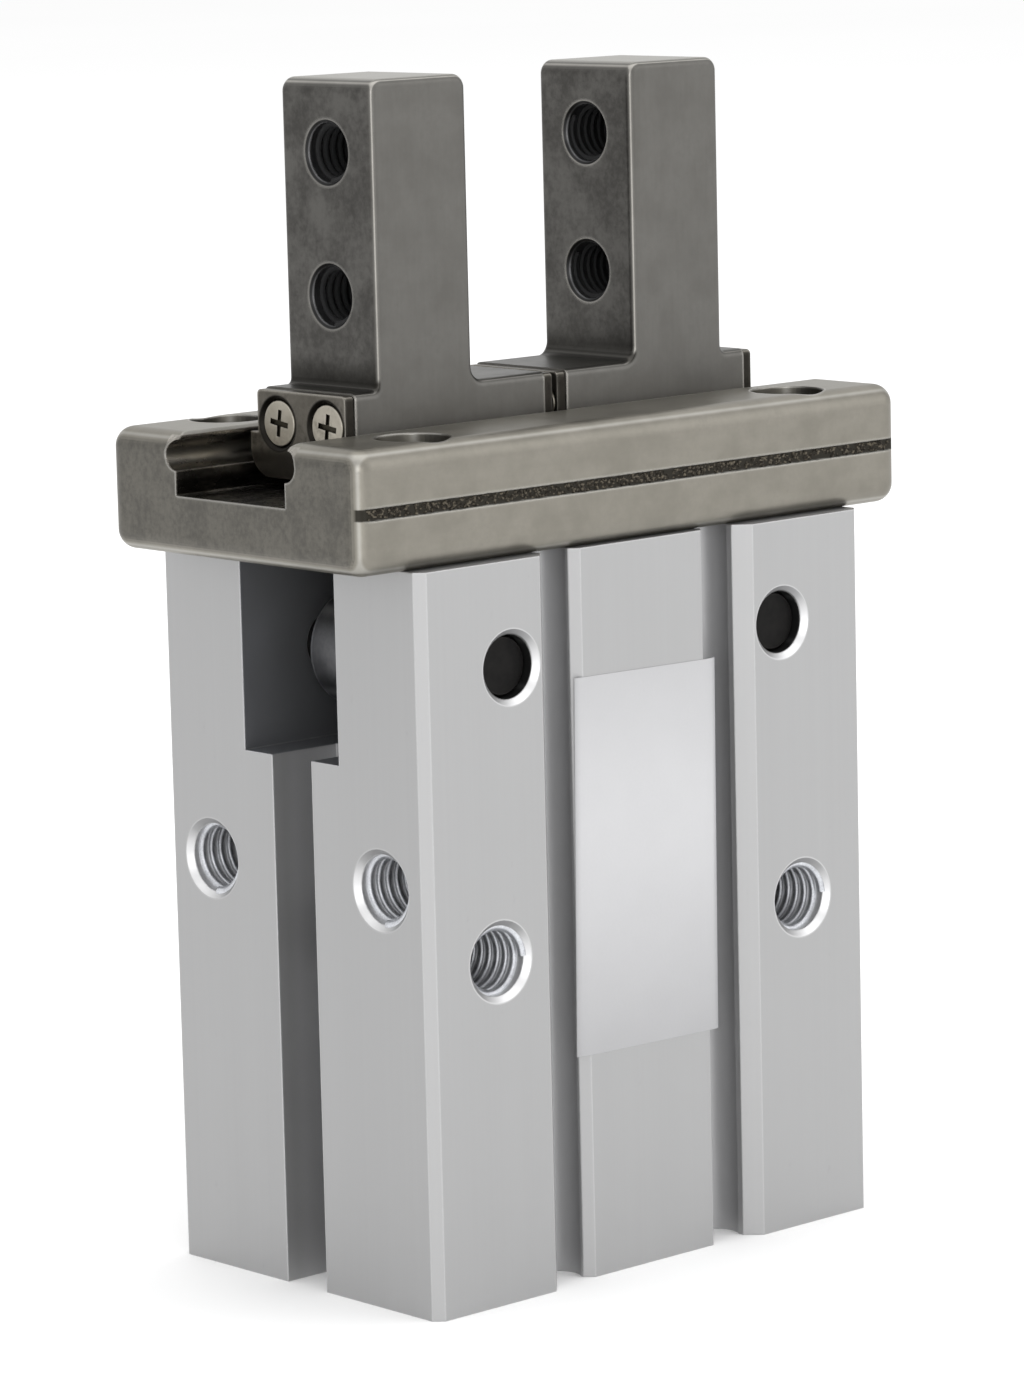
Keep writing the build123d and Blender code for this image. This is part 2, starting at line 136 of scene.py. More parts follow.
def end_finish(material, place, colour, roughness, metallic, height, relief, edge=0.0, coat=0.0,
               specular=0.5):
    """Joins the wires to the material's surface. Relief is the height's depth in metres, and edge the radius
    that softens corners."""
    bump = {"Height": height, "Distance": relief, "Strength": 1.0}
    if edge:
        bump["Normal"] = place.add("Bevel", {"samples": 4}, {"Radius": edge})
    shader = place.add("BsdfPrincipled", {}, {
        "Base Color": colour, "Roughness": roughness, "Metallic": metallic, "Coat Weight": coat,
        "Specular IOR Level": specular, "Normal": place.add("Bump", {}, bump)})
    place.add("OutputMaterial", {}, {"Surface": shader})
    return material


def dress(node, material):
    """Gives a CAD node its finish."""
    for entry in nodes[node].material_slots:
        entry.material = material


def sharp_edges(place, radius):
    """1 on sharp edges and 0 on open faces, from how far the rounded normal leaves the plain one."""
    plain = place.add("NewGeometry", output="Normal")
    agree = plain.vector("DOT_PRODUCT", place.add("Bevel", {"samples": 4}, {"Radius": radius}), "Value")
    return (1 - agree).step(0.004, 0.12)


def rounded_corners(place):
    """1 along the middle of a fillet or on a chamfer, which face no axis squarely, and 0 on flat faces."""
    normal = place.add("NewGeometry", output="Normal")
    squarest = abs(normal.part("X")) | abs(normal.part("Y")) | abs(normal.part("Z"))
    return (1 - squarest).step(0.17, 0.29)


def fold(place):
    """Coordinates folded about the object's middle planes, so that one place stands for its mirror images."""
    return place.add("VectorMath", {"operation": "ABSOLUTE"}, {0: place})


def near_hole(folded, mouth, axis, reach, depth, blur=0.05 * MM):
    """1 within reach of a hole's axis and down to a depth from its mouth, on folded coordinates."""
    flat = [0.0 if i == axis else 1.0 for i in range(3)]
    level = folded.vector("MULTIPLY", flat)
    away = level.vector("DISTANCE", [c * f for c, f in zip(mouth, flat)], "Value")
    deep = abs(folded.part(axis) - mouth[axis])
    return (1 - away.step(reach - blur, reach + blur)) * (1 - deep.step(depth - blur, depth + blur))


BODY_LOW, BODY_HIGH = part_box("body")
WINDOW_FLOOR = BODY_HIGH[2] - 17.1 * MM
WINDOW_HALF = 6.1 * MM
SLOT_LIP = 1.0 * MM  # the slots' skin starts to be painted lighter, against their shade, this far below a face
END_SLOT_SUNK = 2.5 * MM  # and has wholly changed at this depth, in the end slots
WIDE_SLOT_SUNK = 3.0 * MM  # and at this one, in the wide faces' slots
M6_R = mounts["front_holes"]["dims"]["hole_r_mm"] * MM
M6_DEPTH = 10.0 * MM
HOLE_CHAMFER = 0.5 * MM
RIM_WIDTH = HOLE_CHAMFER + 0.1 * MM
SHAFT_LOW, SHAFT_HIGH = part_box("lever_shaft_right")
SHAFT_R = (SHAFT_HIGH[0] - SHAFT_LOW[0]) / 2
SHAFT_HOLE = ((SHAFT_LOW[0] + SHAFT_HIGH[0]) / 2, BODY_HIGH[1], (SHAFT_LOW[2] + SHAFT_HIGH[2]) / 2)
SHAFT_HOLE_SHADED = 3.0 * MM
WIDE_HOLE = (mounts["back_holes"]["dims"]["spacing_x_mm"] * MM / 2, BODY_HIGH[1],
             mounts["back_holes"]["pos_m"][2])
NARROW_HOLE = (BODY_HIGH[0], *mounts["right_end_hole_back"]["pos_m"][1:])
BASE_HOLE = (mounts["base_holes"]["dims"]["spacing_x_mm"] * MM / 2,
             mounts["base_holes"]["dims"]["spacing_y_mm"] * MM / 2, 0.0)
LIT_SIDE = (-0.57, -0.65, 0.5)  # the hole rims that face this way get the brightest painted highlight


def drilled_places(folded):
    """The chamfered rims of all the drilled holes, and the bare walls of the M6 ones."""
    rims = [near_hole(folded, SHAFT_HOLE, 1, SHAFT_R + RIM_WIDTH, HOLE_CHAMFER)]
    walls = []
    for mouth, axis in ((WIDE_HOLE, 1), (NARROW_HOLE, 0), (BASE_HOLE, 2)):
        rims.append(near_hole(folded, mouth, axis, M6_R + RIM_WIDTH, HOLE_CHAMFER))
        walls.append(near_hole(folded, mouth, axis, M6_R + 0.02 * MM, M6_DEPTH))
    return reduce(or_, rims), reduce(or_, walls)


def slots_painted_lighter(folded):
    """1 on the slots' floors and inner walls, which are painted a little lighter against their shade."""
    behind_ends = 1 - folded.part("X").step(BODY_HIGH[0] - END_SLOT_SUNK, BODY_HIGH[0] - SLOT_LIP)
    behind_wide = 1 - folded.part("Y").step(BODY_HIGH[1] - WIDE_SLOT_SUNK, BODY_HIGH[1] - SLOT_LIP)
    return behind_ends * behind_wide


def window_painted_shade(place, folded):
    """1 on the walls and floor of the lever windows, which are painted dark as shade."""
    between = 1 - folded.part("Y").step(WINDOW_HALF - 0.02 * MM, WINDOW_HALF + 0.06 * MM)
    return between * place.part("Z").step(WINDOW_FLOOR - 0.06 * MM, WINDOW_FLOOR - 0.02 * MM)


def anodised_aluminium():
    material, place = start_finish("satin_anodised_aluminium")
    lines = place.grain(0.3 * MM, (1, 1, 400), detail=4.0)
    bands = place.grain(3.0 * MM, (1, 1, 30), detail=2.0)
    clouds = place.grain(9 * MM, detail=4.0)
    scuffs = place.grain(1.1 * MM, (1, 1, 2.5), detail=5.0, rough=0.7).step(0.66, 0.74)
    pits = place.grain(0.09 * MM, detail=2.0)
    folded = fold(place)
    rims, walls = drilled_places(folded)
    shaft_hole_shade = near_hole(folded, SHAFT_HOLE, 1, SHAFT_R + 0.1 * MM, SHAFT_HOLE_SHADED)
    facing = place.add("NewGeometry", output="Normal").vector("DOT_PRODUCT", LIT_SIDE, "Value")
    wear_and_highlight = sharp_edges(place, 0.2 * MM) * (1 - rims)
    tone = 0.44 + lines * 0.1 + bands * 0.1 + clouds * 0.14 - scuffs * 0.14
    skin = tone.tint((0.305, 0.305, 0.307, 1), (0.452, 0.452, 0.454, 1))
    # Painted light: the slots' floors and inner walls are painted a little lighter, against their shade.
    skin = slots_painted_lighter(folded).tint(skin, (0.46, 0.46, 0.465, 1))
    # Painted shade: the walls and floor of the lever windows are painted dark.
    skin = window_painted_shade(place, folded).tint(skin, (0.24, 0.247, 0.265, 1))
    # Painted shade: the shaft holes' walls are painted near black, a few millimetres down.
    skin = (shaft_hole_shade * 0.96).tint(skin, (0.02, 0.02, 0.02, 1))
    # Painted shade on the hole rims that face away from the light; the next line paints a highlight on those
    # that face it.
    skin = (rims * (1 - facing.step(0.2, 0.7)) * 0.6).tint(skin, (0.18, 0.18, 0.183, 1))
    # Bare metal on the M6 walls, painted highlight on the lit rims and on chamfers, and sharp edges lightened
    # as wear and painted highlight.
    bare_and_highlit = walls * 0.9 | rims * facing.step(0.4, 0.95) * 0.9 | wear_and_highlight * 0.6 | rounded_corners(place) * 0.06
    skin = bare_and_highlit.tint(skin, (0.76, 0.76, 0.765, 1))
    return end_finish(material, place, skin, 0.46 + clouds * 0.08 - bare_and_highlit * 0.1, metallic=0.85,
                      height=pits * 0.6 + lines, relief=0.003 * MM, edge=0.18 * MM)


dress("body", anodised_aluminium())


# Threads: M6 in the body's faces, M5 in the ports, cut by a tap after drilling.
# Each is a helical ridge on the hole's wall, bare and slightly oily where the tap has passed.
def tree_inputs(tree, kinds):
    """Declares a tree's named inputs and its one output, and gives each input as a wire."""
    for name, kind in kinds.items():
        tree.interface.new_socket(name, in_out="INPUT", socket_type="NodeSocket" + kind)
    tree.interface.new_socket("Geometry", in_out="OUTPUT", socket_type="NodeSocketGeometry")
    start = tree.nodes.new("NodeGroupInput")
    return {socket.name: Wire(tree, socket) for socket in start.outputs}


def end_tree(tree, given, placed):
    """Makes real meshes of the placed instances, gives them the finish and ends the tree."""
    solid = placed.add("GeometryNodeRealizeInstances", {}, {"Geometry": placed})
    solid = solid.add("GeometryNodeSetMaterial", {}, {"Geometry": solid, "Material": given["Finish"]})
    end = tree.nodes.new("NodeGroupOutput")
    tree.links.new(solid.socket, end.inputs[0])
    return tree


def end_on_points(tree, given, shape):
    """Puts a shape on every point of the input, turned to the point's own direction, and ends the tree."""
    into = shape.add("GeometryNodeInputNamedAttribute", {"data_type": "FLOAT_VECTOR"}, {"Name": "into"})
    turn = shape.add("FunctionNodeAlignRotationToVector", {"axis": "Z"}, {"Vector": into})
    points = shape.add("GeometryNodeMeshToPoints", {}, {"Mesh": given["Geometry"]})
    placed = shape.add("GeometryNodeInstanceOnPoints", {}, {
        "Points": points, "Instance": shape, "Rotation": turn})
    return end_tree(tree, given, placed)


# The ridge's section, in shares of the pitch along the hole and of the ridge's height off the wall.
FLANKS = ((0.46, -0.06), (0.14, 1.0), (-0.14, 1.0), (-0.46, -0.06))
STEPS_PER_TURN = 40


def build_tapping_tree():
    """Geometry nodes that wind a ridge into a hole at every point, along the point's own direction."""
    tree = bpy.data.node_groups.new("tapped_thread", "GeometryNodeTree")
    given = tree_inputs(tree, {
        "Geometry": "Geometry", "Hole radius": "Float", "Ridge height": "Float", "Pitch": "Float",
        "Depth": "Float", "Lead-in": "Float", "Finish": "Material"})
    radius = given["Hole radius"]
    run = given["Depth"] - given["Lead-in"]
    helix = radius.add("GeometryNodeCurveSpiral", {}, {
        "Resolution": STEPS_PER_TURN, "Rotations": run / given["Pitch"], "Start Radius": radius,
        "End Radius": radius, "Height": run})
    helix = helix.add("GeometryNodeSetCurveNormal", {"mode": "Z_UP"}, {"Curve": helix})
    corners = {}
    for n, (along, off) in enumerate(FLANKS):
        corners["Point " + str(n + 1)] = helix.add("CombineXYZ", {}, {
            "X": given["Pitch"] * along, "Y": given["Ridge height"] * off})
    profile = helix.add("GeometryNodeCurvePrimitiveQuadrilateral", {"mode": "POINTS"}, corners)
    ridge = helix.add("GeometryNodeCurveToMesh", {}, {
        "Curve": helix, "Profile Curve": profile, "Fill Caps": True})
    lead = helix.add("CombineXYZ", {}, {"Z": given["Lead-in"]})
    ridge = ridge.add("GeometryNodeTransform", {}, {"Geometry": ridge, "Translation": lead})
    return end_on_points(tree, given, ridge)


def show(name, data):
    """A new object in the scene, for a mesh, a light or a camera."""
    made = bpy.data.objects.new(name, data)
    bpy.context.scene.collection.objects.link(made)
    return made


def points_with(name, spots):
    """A mesh of loose points, each with the direction that it faces."""
    mesh = bpy.data.meshes.new(name)
    mesh.from_pydata([point for point, into in spots], [], [])
    facing = mesh.attributes.new("into", "FLOAT_VECTOR", "POINT")
    for n, (point, into) in enumerate(spots):
        facing.data[n].vector = into
    return show(name, mesh)


def grow(piece, tree, settings):
    """Runs a tree on a piece with its named inputs set, and leaves the result as a plain mesh."""
    modifier = piece.modifiers.new("grow", "NODES")
    modifier.node_group = tree
    for item in tree.interface.items_tree:
        if item.name in settings:
            modifier[item.identifier] = settings[item.name]
    made = bpy.data.meshes.new_from_object(piece.evaluated_get(bpy.context.evaluated_depsgraph_get()))
    made.name = piece.name
    piece.modifiers.clear()
    piece.data = made
    return piece


def cut_metal(name, dark, light, rough):
    """Metal as a tool leaves it, with fine turning marks and a little old oil."""
    material, place = start_finish(name)
    marks = place.grain(0.12 * MM)
    oil = place.grain(1.1 * MM)
    tone = (marks * 0.5 + oil * 0.5).step(0.3, 0.7)
    return end_finish(material, place, tone.tint(dark, light), rough + oil * 0.16, metallic=1.0,
                      height=marks, relief=0.004 * MM)


SIGNS = (-1, 1)
M6_PITCH = 1.0 * MM
M6_THREAD_DEPTH = 7.5 * MM
M5_R = mounts["opening_port"]["dims"]["r_mm"] * MM
M5_PITCH = 0.8 * MM
PORT_THREAD_DEPTH = 5.0 * MM
RIDGE_PER_PITCH = 0.3
LEAD_IN = HOLE_CHAMFER + 0.12 * MM
tapping = build_tapping_tree()


def tap_holes(name, spots, radius, pitch, depth, finish):
    """Cuts the same thread into the hole at every spot."""
    return grow(points_with(name, spots), tapping, {
        "Hole radius": radius, "Ridge height": RIDGE_PER_PITCH * pitch, "Pitch": pitch, "Depth": depth,
        "Lead-in": LEAD_IN, "Finish": finish})


m6_spots = []
for sx in SIGNS:
    for sy in SIGNS:
        m6_spots.append(((sx * WIDE_HOLE[0], sy * WIDE_HOLE[1], WIDE_HOLE[2]), (0, -sy, 0)))
        m6_spots.append(((sx * NARROW_HOLE[0], sy * NARROW_HOLE[1], NARROW_HOLE[2]), (-sx, 0, 0)))
        m6_spots.append(((sx * BASE_HOLE[0], sy * BASE_HOLE[1], BASE_HOLE[2]), (0, 0, 1)))
port_spots = []
for port in ("opening_port", "closing_port"):
    port_spots.append(((BODY_HIGH[0], 0, mounts[port]["pos_m"][2]), (-1, 0, 0)))
tapped_aluminium = cut_metal("tapped_aluminium", dark=(0.46, 0.47, 0.495, 1), light=(0.74, 0.755, 0.785, 1),
                             rough=0.42)
body_threads = tap_holes("body_threads", m6_spots, M6_R, M6_PITCH, M6_THREAD_DEPTH, tapped_aluminium)
port_threads = tap_holes("port_threads", port_spots, M5_R, M5_PITCH, PORT_THREAD_DEPTH, tapped_aluminium)
for threads in (body_threads, port_threads):
    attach(threads, "casing")


# Guide: a steel bar, hardened, ground and tumbled, screwed down on the body.
# Its wide faces are warm grey and nearly plain, its ends are painted darker as shade, and old grease lies in
# its channel with painted glints on the races.
GUIDE_LOW, GUIDE_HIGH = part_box("guide")
GROOVE_LOW = GUIDE_LOW[2] + 4.7 * MM
GROOVE_HEIGHT = 1.0 * MM
GROOVE_DEPTH = 0.2 * MM
CHANNEL_HALF = 7.05 * MM
CHANNEL_FLOOR = GUIDE_LOW[2] + 5.2 * MM


def faces_along(place, axis):
    """1 on faces square to an axis, 0 on the rest."""
    return abs(place.add("NewGeometry", output="True Normal").part(axis)).step(0.8, 0.97)


def steel(name, dark, light, stain_and_shade, streak=(1, 1, 1), rough=0.34, worn_and_lit=(0.5, 0.49, 0.46, 1), worn_and_lit_share=0.7,
          stained_share=0.3, painted_end_shade=0.0, mottled=0.3, patchy=0.35):
    """Tumbled tool steel: soft clouds, stains, and edges and fillets lightened as wear and painted highlight.
    The end shade is painted shade on the faces square to X, less so in its mottled places, and patchy says
    how much of those are clouds rather than specks."""
    material, place = start_finish(name)
    streaks = place.grain(0.5 * MM, streak, detail=4.0)
    clouds = place.grain(3.5 * MM, detail=5.0, rough=0.6)
    spots = place.grain(0.6 * MM, detail=4.0, rough=0.7)
    pits = place.grain(0.11 * MM, detail=2.0)
    wear_and_highlight = sharp_edges(place, 0.4 * MM)
    skin = (streaks * 0.2 + clouds * 0.8).step(0.3, 0.7).tint(dark, light)
    stained = (clouds * 0.6 + spots * 0.4).step(0.5, 0.72)
    skin = (stained * stained_share).tint(skin, stain_and_shade)
    if painted_end_shade:
        mottle = (clouds * patchy + spots * (1 - patchy)).step(0.34, 0.66)
        # Painted shade on the faces square to X, mottled.
        skin = (faces_along(place, "X") * (painted_end_shade - mottle * mottled)).tint(skin, stain_and_shade)
    # Painted highlight: fillets and chamfers are lightened along with the worn sharp edges.
    corners = rounded_corners(place) * (0.35 + clouds * 0.5)
    skin = ((wear_and_highlight | corners) * worn_and_lit_share).tint(skin, worn_and_lit)
    roughness = rough + clouds * 0.12 + stained * 0.06 - wear_and_highlight * 0.06
    height = pits * 0.6 + streaks * 0.4 + spots * 0.3
    return material, place, skin, roughness, height


def groove_dirt(place, folded):
    """1 in the shallow groove along the wide faces, out to its ragged edges."""
    ragged = place.grain(0.5 * MM, (1.6, 1, 1), detail=4.0, rough=0.7) * (0.22 * MM)
    outside = folded.part("Y").step(GUIDE_HIGH[1] - 0.9 * MM, GUIDE_HIGH[1] - 0.6 * MM)
    away = abs(place.part("Z") - (GROOVE_LOW + GROOVE_HEIGHT / 2)) + ragged
    return outside * (1 - away.step(0.54 * MM, 0.68 * MM))


def channel_inside(place, folded):
    """1 on the channel's floor and side walls, and 0 on the guide's ends and top."""
    between = 1 - folded.part("Y").step(CHANNEL_HALF + 1.2 * MM, CHANNEL_HALF + 1.3 * MM)
    above_floor = place.part("Z").step(CHANNEL_FLOOR - 0.1 * MM, CHANNEL_FLOOR - 0.05 * MM)
    below_top = 1 - place.part("Z").step(GUIDE_HIGH[2] - 0.35 * MM, GUIDE_HIGH[2] - 0.2 * MM)
    return between * above_floor * below_top * (1 - faces_along(place, "X"))


def guide_steel():
    material, place, skin, roughness, height = steel(
        "ground_guide_steel", dark=(0.200, 0.189, 0.162, 1), light=(0.250, 0.236, 0.204, 1),
        stain_and_shade=(0.075, 0.072, 0.066, 1), streak=(12, 1, 2), stained_share=0.1, painted_end_shade=0.84)
    folded = fold(place)
    groove = groove_dirt(place, folded)
    skin = (groove * 0.93).tint(skin, (0.03, 0.027, 0.022, 1))
    # The channel is dark with old grease; its lighter patches and the lighter band along the races are
    # painted glints.
    channel = channel_inside(place, folded)
    grease = place.grain(1.3 * MM, (4, 1, 1), detail=4.0, rough=0.6)
    race_glint = place.part("Z").step(CHANNEL_FLOOR + 0.8 * MM, CHANNEL_FLOOR + 2.2 * MM)
    grease_glints = grease.step(0.36, 0.7) * 0.5 + race_glint * 0.4
    film = grease_glints.tint((0.035, 0.031, 0.026, 1), (0.5, 0.47, 0.42, 1))
    skin = (channel * 0.95).tint(skin, film)
    return end_finish(material, place, skin, roughness + groove * 0.3 - channel * 0.12, metallic=1.0,
                      height=height, relief=0.008 * MM, edge=0.25 * MM,
                      coat=channel * grease.step(0.4, 0.6) * 0.5)


dress("guide", guide_steel())


# Groove grit: dark crumbs of scale and dried oil that fill the shallow groove along the guide's wide faces.
# They are loose grains, in no order, stuck to the groove's floor.
CRUMB_R = 0.14 * MM
CRUMB_DENSITY = 16.0 / (MM * MM)
CRUMBS_FROM_END = 1.3 * MM
CRUMBS_FROM_EDGE = 0.12 * MM


def build_grit_tree():
    """Geometry nodes that scatter flat crumbs over a strip."""
    tree = bpy.data.node_groups.new("groove_grit", "GeometryNodeTree")
    given = tree_inputs(tree, {
        "Geometry": "Geometry", "Density": "Float", "Crumb radius": "Float", "Seed": "Int",
        "Finish": "Material"})
    points = given["Geometry"].add("GeometryNodeDistributePointsOnFaces", {}, {
        "Mesh": given["Geometry"], "Density": given["Density"], "Seed": given["Seed"]})
    crumb = points.add("GeometryNodeMeshIcoSphere", {}, {"Radius": given["Crumb radius"], "Subdivisions": 1})
    size = points.add("FunctionNodeRandomValue", {"data_type": "FLOAT_VECTOR"}, {
        0: (0.6, 0.5, 0.5), 1: (1.9, 1.1, 1.3), "Seed": given["Seed"]})
    placed = points.add("GeometryNodeInstanceOnPoints", {}, {
        "Points": points, "Instance": crumb, "Scale": size})
    return end_tree(tree, given, placed)


def groove_strips():
    """Two strips in the groove, one on each wide face, that the crumbs are scattered over."""
    half = GUIDE_HIGH[0] - CRUMBS_FROM_END
    low = GROOVE_LOW + CRUMBS_FROM_EDGE
    high = GROOVE_LOW + GROOVE_HEIGHT - CRUMBS_FROM_EDGE
    corners = []
    faces = []
    for sy in SIGNS:
        y = sy * (GUIDE_HIGH[1] - GROOVE_DEPTH)
        faces.append([len(corners) + n for n in range(4)])
        corners += [(-half, y, low), (half, y, low), (half, y, high), (-half, y, high)]
    mesh = bpy.data.meshes.new("groove_grit")
    mesh.from_pydata(corners, [], faces)
    return show("groove_grit", mesh)


def grit():
    material, place = start_finish("dark_scale_grit")
    specks = place.grain(0.34 * MM)
    skin = specks.step(0.44, 0.66).tint((0.018, 0.015, 0.011, 1), (0.12, 0.104, 0.078, 1))
    return end_finish(material, place, skin, 0.6 + specks * 0.2, metallic=0.0, height=specks,
                      relief=0.01 * MM, specular=0.15)


groove_grit = grow(groove_strips(), build_grit_tree(), {
    "Density": CRUMB_DENSITY, "Crumb radius": CRUMB_R, "Seed": 7, "Finish": grit()})
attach(groove_grit, "casing")


# Guide screws: four socket-head screws of black oxidised steel, sunk below the guide's top.
# They hold the guide to the body. The screw that clamps the piston is of the same kind.
def oxidised_steel():
    material, place = start_finish("black_oxide_steel")
    clouds = place.grain(0.9 * MM, detail=4.0)
    skin = clouds.tint((0.006, 0.006, 0.0065, 1), (0.022, 0.021, 0.02, 1))
    skin = (sharp_edges(place, 0.2 * MM) * 0.35).tint(skin, (0.16, 0.155, 0.15, 1))
    return end_finish(material, place, skin, 0.42 + clouds * 0.2, metallic=0.9, height=clouds,
                      relief=0.006 * MM, edge=0.1 * MM, specular=0.2)


screw_black = oxidised_steel()
dress("guide_screws", screw_black)
dress("piston_screw", screw_black)


# Bottom closure: a moulded black resin cap, its rubber seal, and the spring ring that keeps them in.
# The cap has a matt moulded grain, the ring a phosphate-grey skin, and every rubber part a soft bloom.
def moulded_resin():
    material, place = start_finish("black_moulded_resin")
    grain = place.grain(0.14 * MM, detail=2.0)
    flow = place.grain(5 * MM)
    skin = flow.tint((0.012, 0.012, 0.013, 1), (0.03, 0.03, 0.032, 1))
    return end_finish(material, place, skin, 0.48 + grain * 0.14, metallic=0.0, height=grain,
                      relief=0.01 * MM, edge=0.1 * MM)


def soft_rubber():
    material, place = start_finish("nitrile_rubber")
    bloom = place.grain(1.6 * MM, detail=4.0)
    grain = place.grain(0.1 * MM, detail=2.0)
    skin = bloom.step(0.4, 0.75).tint((0.010, 0.010, 0.011, 1), (0.045, 0.045, 0.046, 1))
    return end_finish(material, place, skin, 0.55 + bloom * 0.2, metallic=0.0, height=grain,
                      relief=0.008 * MM, edge=0.08 * MM)


def spring_steel():
    material, place = start_finish("phosphated_spring_steel")
    grain = place.grain(0.2 * MM)
    clouds = place.grain(2.2 * MM)
    skin = clouds.tint((0.07, 0.07, 0.07, 1), (0.19, 0.185, 0.18, 1))
    skin = (sharp_edges(place, 0.2 * MM) * 0.6).tint(skin, (0.45, 0.44, 0.43, 1))
    return end_finish(material, place, skin, 0.38 + grain * 0.16, metallic=1.0, height=grain,
                      relief=0.006 * MM, edge=0.08 * MM)


dress("bottom_cap", moulded_resin())
rubber = soft_rubber()
for rubber_part in ("cap_seal", "lower_damper", "upper_damper", "rod_seal", "piston_packing"):
    dress(rubber_part, rubber)
dress("retaining_ring", spring_steel())


# Piston and rod: turned aluminium discs clamped on a chromed rod, with a sintered magnet ring between them
# that the sensors in the body's slots feel. The rod seal's retainer is turned the same way.
TURNED_RING = 0.12 * MM


def turned_metal(name, dark, light, rough):
    """Metal turned about Z, with fine rings round the axis."""
    material, place = start_finish(name)
    radius = place.vector("MULTIPLY", (1, 1, 0)).vector("LENGTH", (0, 0, 0), "Value")
    phase = (radius + place.part("Z")) * (2 * math.pi / TURNED_RING)
    rings = phase.math("SINE", phase)
    clouds = place.grain(2.5 * MM, detail=4.0)
    skin = (clouds + rings * 0.06).tint(dark, light)
    return end_finish(material, place, skin, rough + clouds * 0.1, metallic=1.0,
                      height=rings * 0.3 + clouds, relief=0.003 * MM, edge=0.1 * MM)


def sintered_magnet():
    material, place = start_finish("sintered_magnet")
    grain = place.grain(0.18 * MM, detail=4.0, rough=0.7)
    skin = grain.tint((0.03, 0.03, 0.032, 1), (0.12, 0.12, 0.125, 1))
    return end_finish(material, place, skin, 0.45 + grain * 0.2, metallic=0.7, height=grain,
                      relief=0.012 * MM, edge=0.1 * MM)


turned_aluminium = turned_metal("turned_aluminium", dark=(0.55, 0.55, 0.56, 1), light=(0.78, 0.78, 0.79, 1),
                                rough=0.25)
for disc in ("piston_upper", "piston_lower", "seal_retainer"):
    dress(disc, turned_aluminium)
dress("piston_rod", turned_metal("chromed_rod_steel", dark=(0.52, 0.53, 0.55, 1),
                                 light=(0.68, 0.69, 0.71, 1), rough=0.12))
dress("magnet_ring", sintered_magnet())


# Levers and their shafts: hardened bell cranks that turn the rod's stroke into finger travel.
# The levers are dark, with rims lightened as wear and painted highlight, and the shafts show as black ends in
# the wide faces.
SIDES = {"left": -1, "right": 1}


def lever_steel():
    material, place, skin, roughness, height = steel(
        "hardened_lever_steel", dark=(0.09, 0.09, 0.093, 1), light=(0.16, 0.16, 0.164, 1),
        stain_and_shade=(0.05, 0.05, 0.05, 1), rough=0.3, worn_and_lit=(0.55, 0.55, 0.56, 1), worn_and_lit_share=0.9)
    return end_finish(material, place, skin, roughness, metallic=1.0, height=height, relief=0.008 * MM,
                      edge=0.2 * MM)


lever_finish = lever_steel()
for side in SIDES:
    dress("lever_" + side, lever_finish)
    dress("lever_shaft_" + side, screw_black)


# Balls: two rows for each finger, polished bearing steel in a film of grease.
# They roll in the guide's races, on both sides of the fingers' feet.
def ball_steel():
    material, place = start_finish("bearing_ball_steel")
    grease = place.grain(0.8 * MM)
    skin = grease.tint((0.35, 0.345, 0.33, 1), (0.62, 0.62, 0.61, 1))
    return end_finish(material, place, skin, 0.08 + grease * 0.12, metallic=1.0, height=grease,
                      relief=0.004 * MM)


balls_finish = ball_steel()
for side in SIDES:
    dress("balls_" + side, balls_finish)


# Fingers: one steel piece each, a foot that rides on the balls and an upright with two tapped holes.
# They are plain on the wide faces, with mottled painted shade on the faces along their travel, painted light
# on the faces square to Z, and painted shade darkest in the holes and where the upright meets the foot.
FINGER_FACE = abs(mounts["jaw_face_right"]["pos_m"][0])
FINGER_THICKNESS = 10.7 * MM
FINGER_OUTER = FINGER_FACE + FINGER_THICKNESS
FINGER_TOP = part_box("finger_left")[1][2]
SHOULDER = FINGER_TOP - 25.85 * MM
TIP_PITCH = mounts["finger_holes_left"]["dims"]["spacing_y_mm"] * MM
TIP_HOLES = [mounts["finger_holes_left"]["pos_m"][2] + sign * TIP_PITCH / 2 for sign in SIGNS]
TIP_CHAMFER = 0.3 * MM


def shade_tip_hole(skin, folded, mouth):
    """Paints shade on a hole's surroundings and its chamfer, and paints its wall a dull grey behind the
    thread, lighter than the thread against the shade between its turns.
    """
    around = near_hole(folded, mouth, 0, M5_R + TIP_CHAMFER + 0.16 * MM, FINGER_THICKNESS, 0.12 * MM)
    skin = (around * 0.6).tint(skin, (0.12, 0.117, 0.11, 1))
    chamfer = near_hole(folded, mouth, 0, M5_R + TIP_CHAMFER - 0.03 * MM, FINGER_THICKNESS)
    skin = (chamfer * 0.97).tint(skin, (0.022, 0.022, 0.0225, 1))
    wall = near_hole(folded, mouth, 0, M5_R + 0.07 * MM, FINGER_THICKNESS)
    return (wall * 0.97).tint(skin, (0.14, 0.14, 0.143, 1))


